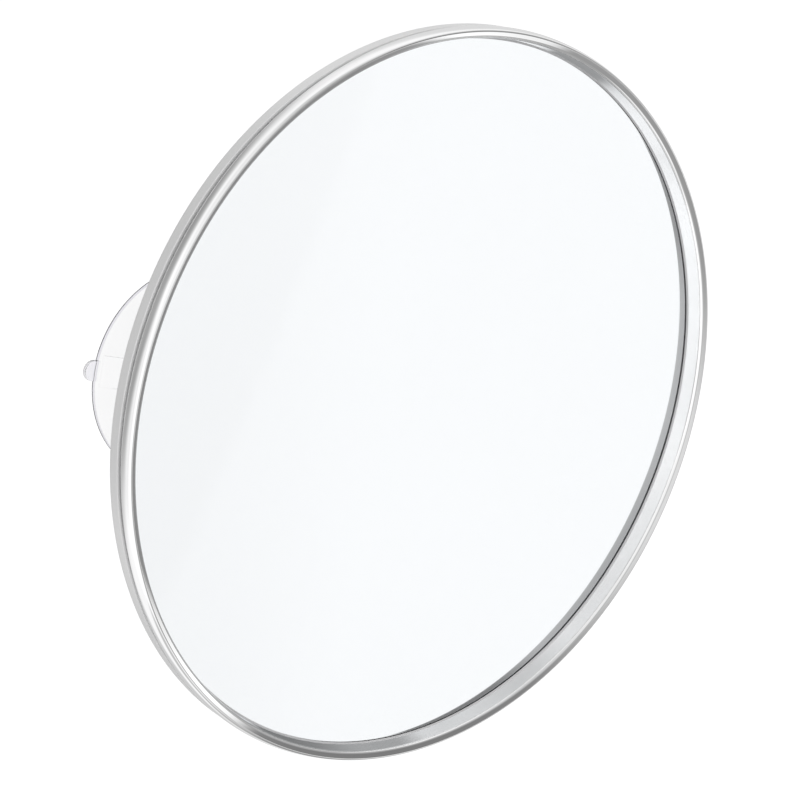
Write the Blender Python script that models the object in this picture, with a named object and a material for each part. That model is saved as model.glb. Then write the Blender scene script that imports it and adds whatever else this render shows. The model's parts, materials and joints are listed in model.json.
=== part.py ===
"""A round magnifying mirror on three suction cups, modelled piece by piece.

The wall is the plane Y = 0 and the mirror looks along -Y, with +Z up.
Every turned piece is drawn as an outline of (radius, height), where height
is measured from the wall along the mirror's own axis.
"""
import math

import bmesh
import bpy

# Overall
BEZEL_RADIUS = 0.0850          # widest radius of the chrome bead

# Between pieces that touch
TOUCH_GAP = 0.0003
CUT_OVERRUN = 0.0010

# Bezel
BEAD_HALF_WIDTH = 0.0010       # from the bead's crest out to its widest radius
CREST_RISE = 0.00245           # crest in front of the widest radius
FOOT_ROUND = 0.0007            # rounding from the widest radius back to the bead's foot
FACE_WIDTH = 0.0014            # sloping front face inside the crest
FACE_DROP = 0.00045            # front face's fall from the crest inwards
FACE_EASE = 0.0006             # bevel between the front face and the inner wall
RIM_DEPTH = 0.00435            # from the crest back to the lip's underside
WALL_OVERLAP = 0.0004          # inner wall's foot over the edge of the glass
LIP_WIDTH = 0.0003             # narrow lip inside the inner wall
LIP_EDGE = 0.0003              # thickness of the lip
SKIRT_WALL = 0.0006
LUG_COUNT = 12
LUG_WIDTH = 0.0060
LUG_HEIGHT = 0.0006
LUG_REACH = 0.0004             # beyond the skirt
LUG_LIFT = 0.0002              # above the skirt's end
LUG_ROOT = 0.0003              # sunk into the skirt
LUG_CLEARANCE = 0.0003         # round the lugs in the shell's snap groove
SKIRT_CLEARANCE = 0.0003       # skirt inside the shell
GLASS_CLEARANCE = 0.0003       # glass inside the skirt

# Glass and the layers behind it
GLASS_THICKNESS = 0.0013
GLASS_CURVE_RADIUS = 0.700     # concave front, twice the focal length
SILVER_THICKNESS = 0.0003
FOAM_WIDTH = 0.0060
FOAM_THICKNESS = 0.0008        # at the ring's inner, thinner side
MIDDLE_SPACE = 0.00123         # for the pads, behind the middle of the glass
PAD_RADIUS = 0.0080
PAD_PLACE_RADIUS = 0.0220      # pads' centres, from the mirror's axis

# Rear shell
BAND_INSET = 0.0004            # satin side band inside the bead's widest radius
BAND_CORNER = 0.0016           # rounding behind the band
BAND_GROOVE = 0.0014           # open height between the band and the bead's foot
SIDE_WALL = 0.0010
SHELL_WALL = 0.0014
FLANGE_SLOPE_WIDTH = 0.0012
FLANGE_SLOPE_HEIGHT = 0.0018
SEAT_RISE = 0.0014             # seat of the skirt above the ledge of the glass
LEDGE_MARGIN = 0.0024          # ledge inside the foam ring
STEP_WIDTH = 0.0026            # slope between the flange and the plateau
STEP_OFFSET_SHARE = 0.75       # of the wall, from the slope's inside to its outside

# Sockets for the cups
CUP_COUNT = 3
CUP_PLACE_INSET = 0.0315       # cups' centres, inwards from the bezel's radius
FIRST_CUP_ANGLE = math.radians(30)
BOSS_RADIUS = 0.0100
BOSS_DRAFT = 0.0006
BOSS_RISE = 0.0010             # from the plateau towards the wall
NECK_CLEARANCE = 0.0003        # neck of the cup in its hole

# Suction cup
CUP_RADIUS = 0.0235
CUP_HEIGHT = 0.0108            # from the wall to its shoulder
CUP_LIP = 0.0009               # thickness of the cup's outer edge
CUP_CONTACT_WIDTH = 0.0008     # flat ring that meets the wall
CUP_CROWN = 0.0044             # thickness at its middle
CUP_TOP_RADIUS = 0.0077
CUP_NECK_RADIUS = 0.0035
CUP_HEAD_LEDGE = 0.0019        # head beyond the neck
CUP_HEAD_THICKNESS = 0.0022
CUP_HEAD_BEVEL = 0.0010
TAB_HALF_WIDTH = 0.0023
TAB_REACH = 0.0029             # beyond the cup's edge
TAB_THICKNESS = 0.0011
TAB_LIFT = 0.0002              # off the wall
TAB_SINK = 0.0009              # tongue's inner end, inside the cup's edge
ROOT_HALF_WIDTH = 0.0035
ROOT_INSET = 0.0012            # from the cup's edge
ROOT_LENGTH = 0.0052
ROOT_RISE = 0.0011             # above the cup's outside

# Shapes of the cup's two skins: shares of its radius and of its height
DOME_SHARES = ((0.94, 0.125), (0.83, 0.225), (0.70, 0.39), (0.56, 0.605),
               (0.44, 0.78), (0.37, 0.90))
HOLLOW_SHARES = ((0.93, 0.09), (0.80, 0.34), (0.60, 0.66), (0.36, 0.90))

# Facets
BIG_SEGMENTS = 72
CUP_SEGMENTS = 32
PAD_SEGMENTS = 20
HOLE_SEGMENTS = 24
GLASS_RINGS = 3
ARC_STEP = math.radians(28)
SHARP_ANGLE = math.radians(35)


# Radii, from the outside in
band_radius = BEZEL_RADIUS - BAND_INSET
shell_inner = band_radius - SIDE_WALL
skirt_outer = shell_inner - SKIRT_CLEARANCE
skirt_inner = skirt_outer - SKIRT_WALL
glass_radius = skirt_inner - GLASS_CLEARANCE
wall_radius = glass_radius - WALL_OVERLAP
lip_radius = wall_radius - LIP_WIDTH
foam_outer = glass_radius - TOUCH_GAP
foam_inner = foam_outer - FOAM_WIDTH
seat_radius = foam_outer + TOUCH_GAP
ledge_inner = foam_inner - LEDGE_MARGIN
groove_radius = skirt_outer + LUG_REACH + LUG_CLEARANCE
cup_place_radius = BEZEL_RADIUS - CUP_PLACE_INSET
recess_radius = BOSS_RADIUS - SHELL_WALL
hole_radius = CUP_NECK_RADIUS + NECK_CLEARANCE


def dish(radius):
    """Rise of the glass from its middle to a radius."""
    return GLASS_CURVE_RADIUS - math.sqrt(GLASS_CURVE_RADIUS ** 2 - radius ** 2)


# Heights of the cup's socket and the middle of the shell, from the wall
boss_face = CUP_HEIGHT + TOUCH_GAP
recess_floor = boss_face + SHELL_WALL
head_base = recess_floor + TOUCH_GAP
head_top = head_base + CUP_HEAD_THICKNESS
plateau_back = boss_face + BOSS_RISE
plateau_floor = plateau_back + SHELL_WALL
silver_middle = plateau_floor + MIDDLE_SPACE


def silver_back(radius):
    return silver_middle + dish(radius)


def silver_front(radius):
    return silver_back(radius) + SILVER_THICKNESS


def glass_back(radius):
    return silver_front(radius) + TOUCH_GAP


def glass_front(radius):
    return glass_back(radius) + GLASS_THICKNESS


# Heights of the rim
lip_underside = glass_front(glass_radius) + TOUCH_GAP
crest_height = lip_underside + RIM_DEPTH
widest_height = crest_height - CREST_RISE
foot_height = widest_height - FOOT_ROUND
band_top = foot_height - BAND_GROOVE
foam_back = silver_back(foam_inner) - TOUCH_GAP - FOAM_THICKNESS
ledge_height = foam_back - TOUCH_GAP
seat_height = ledge_height + SEAT_RISE
skirt_end = seat_height + TOUCH_GAP
lug_bottom = skirt_end + LUG_LIFT
flange_back = ledge_height - SHELL_WALL
band_bottom = flange_back + FLANGE_SLOPE_HEIGHT + BAND_CORNER


def clear_scene():
    for item in list(bpy.data.objects):
        bpy.data.objects.remove(item, do_unlink=True)


def material(name, color, roughness, metallic=0.0, alpha=1.0, transmission=0.0):
    """A Principled material."""
    made = bpy.data.materials.new(name)
    made.use_nodes = True
    shader = made.node_tree.nodes["Principled BSDF"]
    shader.inputs["Base Color"].default_value = (*color, 1.0)
    shader.inputs["Roughness"].default_value = roughness
    shader.inputs["Metallic"].default_value = metallic
    shader.inputs["Alpha"].default_value = alpha
    shader.inputs["Transmission Weight"].default_value = transmission
    return made


def new_object(name, mesh, parent, finish=None):
    made = bpy.data.objects.new(name, mesh)
    bpy.context.scene.collection.objects.link(made)
    made.parent = parent
    if finish:
        mesh.materials.append(finish)
    return made


def finish_mesh(bm, name, smooth=True):
    """Merge doubled points, turn the faces out and shade the mesh."""
    bmesh.ops.remove_doubles(bm, verts=bm.verts, dist=TOUCH_GAP * 0.01)
    bmesh.ops.recalc_face_normals(bm, faces=bm.faces)
    mesh = bpy.data.meshes.new(name)
    bm.to_mesh(mesh)
    bm.free()
    if smooth:
        mesh.shade_smooth()
        mesh.set_sharp_from_angle(angle=SHARP_ANGLE)
    return mesh


def add_turned(bm, outline, segments, centre=(0.0, 0.0)):
    """Spin a closed outline of (radius, height) about an upright axis."""
    x, y = centre
    points = [bm.verts.new((x + r, y, h)) for r, h in outline]
    edges = []
    for first, second, start, end in zip(points, points[1:] + points[:1],
                                         outline, outline[1:] + outline[:1]):
        if start[0] > 0 or end[0] > 0:
            edges.append(bm.edges.new((first, second)))
    bmesh.ops.spin(bm, geom=points + edges, cent=(x, y, 0.0), axis=(0.0, 0.0, 1.0),
                   angle=2 * math.pi, steps=segments, use_merge=True)


def turned(name, outline, segments, parent, finish=None):
    """A solid of revolution from a closed outline of (radius, height)."""
    bm = bmesh.new()
    add_turned(bm, outline, segments)
    return new_object(name, finish_mesh(bm, name), parent, finish)


def arc(centre, radii, start, end):
    """Points on a round or oval arc, in steps no wider than ARC_STEP."""
    steps = max(1, math.ceil(abs(end - start) / ARC_STEP))
    angles = [start + (end - start) * i / steps for i in range(steps + 1)]
    return [(centre[0] + radii[0] * math.cos(a), centre[1] + radii[1] * math.sin(a))
            for a in angles]


def add_box(bm, low, high, turn):
    """A box between two corners, turned about the upright axis."""
    sides = [[corner[i] for corner in (low, high)] for i in range(3)]
    corners = []
    for x in sides[0]:
        for y in sides[1]:
            for z in sides[2]:
                corners.append(bm.verts.new((x * math.cos(turn) - y * math.sin(turn),
                                             x * math.sin(turn) + y * math.cos(turn), z)))
    for face in ((0, 1, 3, 2), (4, 6, 7, 5), (0, 4, 5, 1), (2, 3, 7, 6), (0, 2, 6, 4), (1, 5, 7, 3)):
        bm.faces.new([corners[i] for i in face])


def cutter(name, bm, parent):
    """A hidden object for a Boolean."""
    made = new_object(name, finish_mesh(bm, name, smooth=False), parent)
    made.hide_render = True
    made.display_type = "WIRE"
    return made


def combine(target, tool, operation):
    step = target.modifiers.new(tool.name, "BOOLEAN")
    step.operation = operation
    step.solver = "EXACT"
    step.object = tool


def cup_angles():
    return [FIRST_CUP_ANGLE + 2 * math.pi * i / CUP_COUNT for i in range(CUP_COUNT)]


def disc_radii(outer):
    """Radii for a disc's rings, from the axis to its edge."""
    return [outer * i / GLASS_RINGS for i in range(GLASS_RINGS + 1)]


def layer(front, back, outer):
    """Outline of a dished layer between two height functions."""
    radii = disc_radii(outer)
    return [(r, front(r)) for r in radii] + [(r, back(r)) for r in reversed(radii)]


def make_bezel(parent, finish):
    """Chrome front ring: bead, front face, steep inner wall and lip, with a skirt and snap lugs."""
    crest_radius = BEZEL_RADIUS - BEAD_HALF_WIDTH
    foot = arc((BEZEL_RADIUS - FOOT_ROUND, widest_height), (FOOT_ROUND, FOOT_ROUND),
               -math.pi / 2, 0.0)
    outer = arc((crest_radius, widest_height), (BEAD_HALF_WIDTH, CREST_RISE), 0.0, math.pi / 2)
    face_radius = crest_radius - FACE_WIDTH
    face_height = crest_height - FACE_DROP
    lip_top = lip_underside + LIP_EDGE
    wall_lean = (face_radius - wall_radius) / (face_height - lip_top)
    outline = [
        (lip_radius, lip_underside),
        (skirt_inner, lip_underside),
        (skirt_inner, skirt_end),
        (skirt_outer, skirt_end),
        (skirt_outer, band_top + TOUCH_GAP),
        (crest_radius, band_top + TOUCH_GAP),
        (crest_radius, foot_height),
        *foot,
        *outer[1:],
        (face_radius + FACE_EASE, face_height + FACE_DROP * FACE_EASE / FACE_WIDTH),
        (face_radius - FACE_EASE * wall_lean, face_height - FACE_EASE),
        (wall_radius, lip_top),
        (lip_radius, lip_top),
    ]
    bezel = turned("front_bezel", outline, BIG_SEGMENTS, parent, finish)
    bm = bmesh.new()
    for i in range(LUG_COUNT):
        turn = 2 * math.pi * (i + 0.5) / LUG_COUNT
        add_box(bm, (skirt_outer - LUG_ROOT, -LUG_WIDTH / 2, lug_bottom),
                (skirt_outer + LUG_REACH, LUG_WIDTH / 2, lug_bottom + LUG_HEIGHT), turn)
    combine(bezel, cutter("snap_lugs", bm, parent), "UNION")


def make_glass(parent, glass, silver):
    """Concave glass and the reflecting layer behind it."""
    turned("mirror_glass", layer(glass_front, glass_back, glass_radius), BIG_SEGMENTS, parent, glass)
    turned("silver_layer", layer(silver_front, silver_back, glass_radius), BIG_SEGMENTS, parent,
           silver)


def make_foam(parent, finish):
    """Foam ring under the edge of the glass and three pads nearer its middle."""
    outline = [(foam_inner, foam_back), (foam_outer, foam_back),
               (foam_outer, silver_back(foam_outer) - TOUCH_GAP),
               (foam_inner, silver_back(foam_inner) - TOUCH_GAP)]
    turned("foam_ring", outline, BIG_SEGMENTS, parent, finish)
    for number, angle in enumerate(cup_angles(), start=1):
        turn = angle + math.pi
        middle = (PAD_PLACE_RADIUS * math.cos(turn), PAD_PLACE_RADIUS * math.sin(turn))
        bm = bmesh.new()
        bmesh.ops.create_circle(bm, cap_ends=True, radius=PAD_RADIUS, segments=PAD_SEGMENTS)
        grown = bmesh.ops.extrude_face_region(bm, geom=list(bm.faces))
        tops = {item for item in grown["geom"] if isinstance(item, bmesh.types.BMVert)}
        for vert in bm.verts:
            vert.co.x += middle[0]
            vert.co.y += middle[1]
            reach = math.hypot(vert.co.x, vert.co.y)
            vert.co.z = plateau_floor + TOUCH_GAP
            if vert in tops:
                vert.co.z = silver_back(reach) - TOUCH_GAP
        top_faces = [face for face in bm.faces if all(vert in tops for vert in face.verts)]
        bmesh.ops.triangulate(bm, faces=top_faces)
        new_object(f"foam_pad_{number}", finish_mesh(bm, f"foam_pad_{number}"), parent, finish)


def make_shell(parent, finish):
    """Rear shell: side band, stepped back, glass ledge and three cup sockets."""
    corner = arc((band_radius - BAND_CORNER, band_bottom), (BAND_CORNER, BAND_CORNER),
                 0.0, -math.pi / 2)
    groove_low = lug_bottom - LUG_CLEARANCE
    groove_high = lug_bottom + LUG_HEIGHT + LUG_CLEARANCE
    step_outer = ledge_inner + SHELL_WALL * STEP_OFFSET_SHARE
    outline = [
        (0.0, plateau_floor),
        (ledge_inner - STEP_WIDTH, plateau_floor),
        (ledge_inner, ledge_height),
        (seat_radius, ledge_height),
        (seat_radius, seat_height),
        (shell_inner, seat_height),
        (shell_inner, groove_low),
        (groove_radius, groove_low),
        (groove_radius, groove_high),
        (shell_inner, groove_high),
        (shell_inner, band_top),
        (band_radius, band_top),
        *corner,
        (band_radius - BAND_CORNER - FLANGE_SLOPE_WIDTH, flange_back),
        (step_outer, flange_back),
        (step_outer - STEP_WIDTH, plateau_back),
        (0.0, plateau_back),
    ]
    shell = turned("rear_shell", outline, BIG_SEGMENTS, parent, finish)
    bosses = bmesh.new()
    recesses = bmesh.new()
    holes = bmesh.new()
    middle_of_wall = (plateau_back + plateau_floor) / 2
    for angle in cup_angles():
        centre = (cup_place_radius * math.cos(angle), cup_place_radius * math.sin(angle))
        add_turned(bosses, [(0.0, boss_face), (BOSS_RADIUS - BOSS_DRAFT, boss_face),
                            (BOSS_RADIUS, middle_of_wall), (0.0, middle_of_wall)],
                   CUP_SEGMENTS, centre)
        add_turned(recesses, [(0.0, recess_floor), (recess_radius, recess_floor),
                              (recess_radius, plateau_floor + CUT_OVERRUN),
                              (0.0, plateau_floor + CUT_OVERRUN)], CUP_SEGMENTS, centre)
        add_turned(holes, [(0.0, boss_face - CUT_OVERRUN), (hole_radius, boss_face - CUT_OVERRUN),
                           (hole_radius, plateau_floor + CUT_OVERRUN),
                           (0.0, plateau_floor + CUT_OVERRUN)], HOLE_SEGMENTS, centre)
    combine(shell, cutter("socket_bosses", bosses, parent), "UNION")
    combine(shell, cutter("socket_recesses", recesses, parent), "DIFFERENCE")
    combine(shell, cutter("socket_holes", holes, parent), "DIFFERENCE")


def cup_outline():
    """Half section of a suction cup, from its hollow round to its headed neck."""
    hollow_depth = CUP_HEIGHT - CUP_CROWN
    hollow = [(CUP_RADIUS * r, hollow_depth * h) for r, h in reversed(HOLLOW_SHARES)]
    dome = [(CUP_RADIUS * r, CUP_HEIGHT * h) for r, h in DOME_SHARES]
    head_radius = CUP_NECK_RADIUS + CUP_HEAD_LEDGE
    return [
        (0.0, hollow_depth),
        *hollow,
        (CUP_RADIUS - CUP_CONTACT_WIDTH, 0.0),
        (CUP_RADIUS, 0.0),
        (CUP_RADIUS, CUP_LIP),
        *dome,
        (CUP_TOP_RADIUS, CUP_HEIGHT),
        (CUP_NECK_RADIUS, CUP_HEIGHT),
        (CUP_NECK_RADIUS, head_base),
        (head_radius, head_base),
        (head_radius, head_top - CUP_HEAD_BEVEL),
        (head_radius - CUP_HEAD_BEVEL, head_top),
        (0.0, head_top),
    ]


def extrude_outline(points, height_step):
    """A prism from a flat outline, pushed along one vector."""
    bm = bmesh.new()
    face = bm.faces.new([bm.verts.new(point) for point in points])
    grown = bmesh.ops.extrude_face_region(bm, geom=[face])
    verts = [item for item in grown["geom"] if isinstance(item, bmesh.types.BMVert)]
    bmesh.ops.translate(bm, verts=verts, vec=height_step)
    return bm


def make_tab(parent, name):
    """Tongue with a half-round end that lifts the cup's edge."""
    end = CUP_RADIUS + TAB_REACH - TAB_HALF_WIDTH
    outline = arc((end, 0.0), (TAB_HALF_WIDTH, TAB_HALF_WIDTH), -math.pi / 2, math.pi / 2)
    inner = CUP_RADIUS - TAB_SINK
    outline += [(inner, TAB_HALF_WIDTH), (inner, -TAB_HALF_WIDTH)]
    points = [(x, y, TAB_LIFT) for x, y in outline]
    return cutter(name, extrude_outline(points, (0.0, 0.0, TAB_THICKNESS)), parent)


def make_tab_root(parent, name):
    """Thicker block where the tongue runs up the cup's outside."""
    outer = CUP_RADIUS - ROOT_INSET
    inner = outer - ROOT_LENGTH
    slope = (DOME_SHARES[2][1] - DOME_SHARES[0][1]) / (DOME_SHARES[0][0] - DOME_SHARES[2][0])
    climb = slope * CUP_HEIGHT * ROOT_LENGTH / CUP_RADIUS
    top = CUP_LIP + ROOT_RISE
    floor = TAB_LIFT + TAB_THICKNESS / 2
    side = [(outer, floor), (outer, top), (inner, top + climb), (inner, climb + CUP_LIP)]
    points = [(x, -ROOT_HALF_WIDTH, z) for x, z in side]
    bm = extrude_outline(points, (0.0, 2 * ROOT_HALF_WIDTH, 0.0))
    return cutter(name, bm, parent)


def make_cups(parent, finish):
    """Clear cups, each turning about the axis of its own neck."""
    names = ("suction_cup_right", "suction_cup_left", "suction_cup_bottom")
    for name, angle in zip(names, cup_angles()):
        axis = bpy.data.objects.new(f"{name}_axis", None)
        bpy.context.scene.collection.objects.link(axis)
        axis.parent = parent
        axis.location = (cup_place_radius * math.cos(angle), cup_place_radius * math.sin(angle), 0.0)
        axis.rotation_euler = (0.0, 0.0, angle)
        cup = turned(name, cup_outline(), CUP_SEGMENTS, axis, finish)
        combine(cup, make_tab(axis, f"{name}_tab"), "UNION")
        combine(cup, make_tab_root(axis, f"{name}_tab_root"), "UNION")


def main():
    clear_scene()
    wall = bpy.data.objects.new("wall_centre", None)
    bpy.context.scene.collection.objects.link(wall)
    wall.rotation_euler = (math.pi / 2, 0.0, 0.0)
    chrome = material("polished_chrome", (0.80, 0.80, 0.81), 0.06, metallic=1.0)
    satin = material("satin_silver", (0.60, 0.60, 0.60), 0.35, metallic=0.8)
    glass = material("clear_glass", (0.97, 0.98, 0.98), 0.0, alpha=0.35, transmission=1.0)
    silver = material("mirror_silver", (0.93, 0.94, 0.95), 0.02, metallic=1.0)
    foam = material("white_foam", (0.82, 0.82, 0.80), 0.9)
    clear_pvc = material("clear_pvc", (0.90, 0.90, 0.93), 0.12, alpha=0.45, transmission=0.9)
    make_bezel(wall, chrome)
    make_glass(wall, glass, silver)
    make_foam(wall, foam)
    make_shell(wall, satin)
    make_cups(wall, clear_pvc)


main()
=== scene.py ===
"""A round magnifying mirror on three suction cups, dressed for a studio picture.

The wall is the plane Y = 0 and the mirror looks along -Y, with +Z up. Turned pieces are drawn as
outlines of (radius, height), where height is measured from the wall along the mirror's own axis.
"""
import json
import math

import bmesh
import bpy
from bpy.props import FloatProperty, FloatVectorProperty, IntProperty, PointerProperty
from mathutils import Matrix, Vector


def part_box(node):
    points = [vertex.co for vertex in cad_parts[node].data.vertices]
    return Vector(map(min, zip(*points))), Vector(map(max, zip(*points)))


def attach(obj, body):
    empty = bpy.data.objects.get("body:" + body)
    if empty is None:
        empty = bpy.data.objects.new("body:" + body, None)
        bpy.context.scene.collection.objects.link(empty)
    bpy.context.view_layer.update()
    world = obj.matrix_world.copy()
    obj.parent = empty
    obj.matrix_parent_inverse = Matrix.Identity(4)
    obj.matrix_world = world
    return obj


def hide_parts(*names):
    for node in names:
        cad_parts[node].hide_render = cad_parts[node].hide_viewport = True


bl_info = {
    "name": "Suction Mirror",
    "version": (1, 0, 0),
    "blender": (4, 5, 0),
    "location": "3D View > Sidebar > Mirror",
    "description": "Builds a round magnifying mirror on three suction cups, piece by piece",
    "category": "Object",
}

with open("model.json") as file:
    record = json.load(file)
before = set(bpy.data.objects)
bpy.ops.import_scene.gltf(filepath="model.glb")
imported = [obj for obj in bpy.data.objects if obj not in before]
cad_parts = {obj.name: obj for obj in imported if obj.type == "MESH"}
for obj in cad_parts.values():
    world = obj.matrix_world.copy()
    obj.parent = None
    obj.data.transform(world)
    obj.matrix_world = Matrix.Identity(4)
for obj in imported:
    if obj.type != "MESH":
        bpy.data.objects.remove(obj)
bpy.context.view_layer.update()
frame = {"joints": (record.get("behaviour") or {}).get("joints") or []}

HEAD = "mirror_head"
CUPS = (("right_cup", "suction_cup_right"), ("left_cup", "suction_cup_left"),
        ("bottom_cup", "suction_cup_bottom"))
WALL_TURN = Matrix.Rotation(math.pi / 2, 4, "X")

SHARP_ANGLE = math.radians(32)  # edges that turn more than this stay sharp
MERGE = 1e-7  # points nearer than this become one
CORNER_REACH = 0.48  # share of an edge that one rounding may take up
CUT_PAST = 0.001  # how far a cutting tool runs past what it cuts

# Flat sides of round things
FLOOR_SIDES = 96
BEZEL_SIDES = 360
DISC_SIDES = 288
FOAM_SIDES = 240
CUP_SIDES = 128
BOSS_SIDES = 96
HOLE_SIDES = 72
PAD_SIDES = 48

# Rings of a disc, and steps of arcs, curves and roundings
DISC_RINGS = 40
BEAD_STEPS = 24
CORNER_STEPS = 12
TAB_STEPS = 28
SKIN_STEPS = 6
ROUND_STEPS = 5
FOAM_STEPS = 4
SOFT_STEPS = 4


def length(value, words):
    """A size in metres."""
    return FloatProperty(name=words, default=value, min=0.0, precision=5, unit="LENGTH",
                         subtype="DISTANCE")


def millimetres(value, words):
    """A camera's own measure."""
    return FloatProperty(name=words, default=value, min=1.0, subtype="DISTANCE_CAMERA")


def share(value, words):
    """A number from 0 to 1."""
    return FloatProperty(name=words, default=value, min=0.0, max=1.0, subtype="FACTOR")


def colour(value, words):
    """A colour without its alpha."""
    return FloatVectorProperty(name=words, default=value, size=3, min=0.0, max=1.0,
                               subtype="COLOR")


def cad_radius(node):
    """Largest radius of a turned CAD node."""
    low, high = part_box(node)
    return round((high[0] - low[0]) / 2, 6)


def cad_front(node):
    """Height of a CAD node's front above the wall."""
    return round(-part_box(node)[0][1], 6)


class MirrorSizes(bpy.types.PropertyGroup):
    """Sizes of the mirror's own pieces."""

    bezel_radius: length(cad_radius("front_bezel"), "Widest radius of the bead")
    crest_height: length(cad_front("front_bezel"), "Front of the bead")
    bead_half_width: length(0.0010, "Crest to widest radius")
    crest_rise: length(0.00245, "Crest in front of the widest radius")
    crest_round: length(0.0001, "Rounding of the crest")
    face_width: length(0.0014, "Sloping front face inside the crest")
    face_drop: length(0.00045, "Front face's fall from the crest inwards")
    face_round: length(0.0011, "Rounding from the front face to the inner wall")
    foot_round: length(0.0007, "Rounding at the back of the bead")
    rim_depth: length(0.00435, "Crest back to the lip's underside")
    lip_overlap: length(0.0004, "Inner wall's foot inside the edge of the glass")
    lip_width: length(0.0003, "Chrome lip from the inner wall over the glass")
    lip_edge: length(0.00015, "Thickness of the lip and height of the wall's foot")
    lip_round: length(0.00006, "Rounding of the lip's front edge")
    lip_back_round: length(0.00004, "Rounding of the lip's back edge")
    skirt_wall: length(0.0006, "Wall of the ring that snaps into the shell")
    bead_back_round: length(0.00015, "Rounding of the edges behind the bead")
    fine_round: length(0.0001, "Rounding of thin edges")
    edge_round: length(0.0002, "Rounding of plain edges")
    band_inset: length(0.0004, "Satin band inside the bead's widest radius")
    band_groove: length(0.0014, "Shadow gap between the band and the bead")
    band_corner: length(0.0016, "Rounding behind the band")
    band_round: length(0.00025, "Rounding of the band's front edge")
    slope_width: length(0.0012, "Slope from the band to the back, across")
    slope_rise: length(0.0018, "Slope from the band to the back, upwards")
    slope_round: length(0.0008, "Rounding at the slope's inner end")
    step_width: length(0.0026, "Slope between the ledge and the flat middle")
    step_shift: share(0.75, "Step's back out from its front, in wall thicknesses")
    step_round: length(0.0007, "Rounding at the step's foot on the back")
    step_top_round: length(0.0009, "Rounding at the step's top on the back")
    plateau_ring: share(68.5 / 85, "Ring on the flat back, as a share of the bezel radius")
    side_wall: length(0.0010, "Wall of the shell's side")
    shell_wall: length(0.0014, "Wall of the shell's back")
    seat_rise: length(0.0014, "Seat of the skirt above the glass ledge")
    seat_round: length(0.00008, "Rounding of the seat's edges")
    ledge_margin: length(0.0024, "Ledge inside the foam ring")
    ledge_round: length(0.0004, "Rounding of the ledge's inner edge")
    ledge_foot_round: length(0.0006, "Rounding below the ledge")
    touch_gap: length(0.0003, "Clearance between touching pieces")
    close_gap: length(0.00003, "Gap left where pieces are pressed together")
    glass_thickness: length(0.00035, "Thickness of the concave glass")
    glass_bevel: length(0.0001, "Bevel of the ground edge")
    curve_radius: length(0.700, "Radius of the concave glass")
    silver_thickness: length(0.0003, "Silvering with its paint")
    silver_bevel: length(0.00008, "Bevel of the silvering's edge")
    foam_width: length(0.0060, "Foam ring, outside to inside")
    foam_thickness: length(0.00175, "Foam ring at its thin inner side")
    foam_round: length(0.0003, "Rounding of the foam's front edges")
    pad_radius: length(0.0080, "Radius of a foam pad")
    pad_place_radius: length(0.0220, "Pads' centres from the mirror's axis")
    middle_space: length(0.00218, "Space for the pads behind the glass")
    lug_root: length(0.0003, "Lug's root inside the skirt")
    lug_reach: length(0.0004, "Lug beyond the skirt")
    lug_height: length(0.0006, "Height of a lug")
    lug_bevel: length(0.0002, "Bevel of a lug's tip")
    lug_half_width: length(0.0030, "Half the width of a lug")
    lug_lift: length(0.0002, "Lugs above the skirt's end")
    lug_count: IntProperty(name="Snap lugs round the skirt", default=12, min=3, max=48)


class CupSizes(bpy.types.PropertyGroup):
    """Sizes of a suction cup."""

    radius: length(0.0235, "Outer radius of the cup")
    height: length(0.0108, "Wall to the cup's shoulder")
    lip: length(0.0009, "Thickness of the cup's outer edge")
    contact_width: length(0.0008, "Flat ring that meets the wall")
    crown: length(0.0044, "Thickness at the cup's middle")
    top_radius: length(0.0077, "Radius of the cup's shoulder")
    neck_radius: length(0.0035, "Neck that passes through the shell")
    head_ledge: length(0.0019, "Head beyond the neck")
    head_thickness: length(0.0022, "Thickness of the head")
    head_bevel: length(0.0010, "Bevel of the head")
    head_round: length(0.0005, "Rounding of the head's bevel")
    neck_round: length(0.0002, "Rounding at the neck's foot and under the head")
    edge_round: length(0.0003, "Rounding of the cup's outer edges")
    fine_round: length(0.0001, "Rounding of the cup's inner edges")
    tab_half_width: length(0.0023, "Half the width of the pull tab")
    tab_reach: length(0.0029, "Tab beyond the cup's edge")
    tab_thickness: length(0.0011, "Thickness of the pull tab")
    tab_lift: length(0.0002, "Tab off the wall")
    tab_sink: length(0.0009, "Tab's inner end inside the cup's edge")
    tab_round: length(0.00028, "Rounding of the tab's edges")
    root_half_width: length(0.0035, "Half the width of the tab's root")
    root_inset: length(0.0012, "Root in from the cup's edge")
    root_length: length(0.0052, "Root along the cup's outside")
    root_rise: length(0.0011, "Root above the cup's outside")
    root_round: length(0.0004, "Rounding of the root's edges")
    boss_radius: length(0.0100, "Boss round each socket in the shell")
    boss_draft: length(0.0006, "Slope of the boss's side")
    boss_rise: length(0.0010, "Boss behind the shell's back")
    boss_round: length(0.0004, "Rounding of the boss's face")
    boss_foot: length(0.0003, "Slope at the boss's foot")
    hole_chamfer: length(0.00025, "Chamfer of the hole for the neck")


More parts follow.
